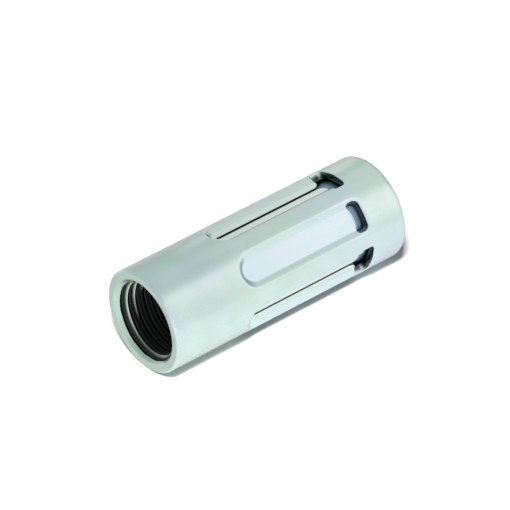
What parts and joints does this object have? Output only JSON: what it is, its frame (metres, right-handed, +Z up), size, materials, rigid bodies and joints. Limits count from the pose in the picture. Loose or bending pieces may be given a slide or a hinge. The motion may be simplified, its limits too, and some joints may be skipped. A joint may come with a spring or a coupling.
{
  "type": "wall anchor",
  "caption": "Internally threaded steel sleeve anchor with fluted, slit expansion segments, rear windows and an inner cone nut that spreads them.",
  "frame": {"origin": "on the surface that the anchor lies on, below the middle of its length", "axes": "+X along the axis from the mouth to the rear end, +Z up, the anchor lying on its side"},
  "size_m": [0.04, 0.015, 0.015],
  "materials": {
    "sleeve_zinc": "bright zinc plating, pale grey-green",
    "segment_zinc": "bright zinc plating over pressed steel",
    "cone_steel": "zinc plating, turned"
  },
  "bodies": {
    "sleeve": {"threaded_socket": "sleeve_zinc", "rear_collar": "sleeve_zinc"},
    "cone": {"cone_nut": "cone_steel"},
    "segment_1": {"expansion_segment_1": "segment_zinc"},
    "segment_2": {"expansion_segment_2": "segment_zinc"},
    "segment_3": {"expansion_segment_3": "segment_zinc"}
  },
  "joints": [
    {"name": "cone_draw", "type": "slide", "parent": "sleeve", "child": "cone", "axis": [-1, 0, 0], "range_m": [0, 0.003]},
    {"name": "segment_1_spread", "type": "hinge", "parent": "sleeve", "child": "segment_1", "pos_m": [-0.0078, 0.0056, 0.00937], "axis": [0, -0.3173, 0.9483], "range_deg": [0, 1.75]},
    {"name": "segment_2_spread", "type": "hinge", "parent": "sleeve", "child": "segment_2", "pos_m": [-0.0078, -0.00442, 0.01141], "axis": [0, -0.6626, -0.749], "range_deg": [0, 1.75]},
    {"name": "segment_3_spread", "type": "hinge", "parent": "sleeve", "child": "segment_3", "pos_m": [-0.0078, -0.00118, 0.00172], "axis": [0, 0.9799, -0.1994], "range_deg": [0, 1.75]}
  ],
  "couplings": [
    {"joint": "segment_1_spread", "follows": "cone_draw", "rad_per_m": 10},
    {"joint": "segment_2_spread", "follows": "cone_draw", "rad_per_m": 10},
    {"joint": "segment_3_spread", "follows": "cone_draw", "rad_per_m": 10}
  ]
}
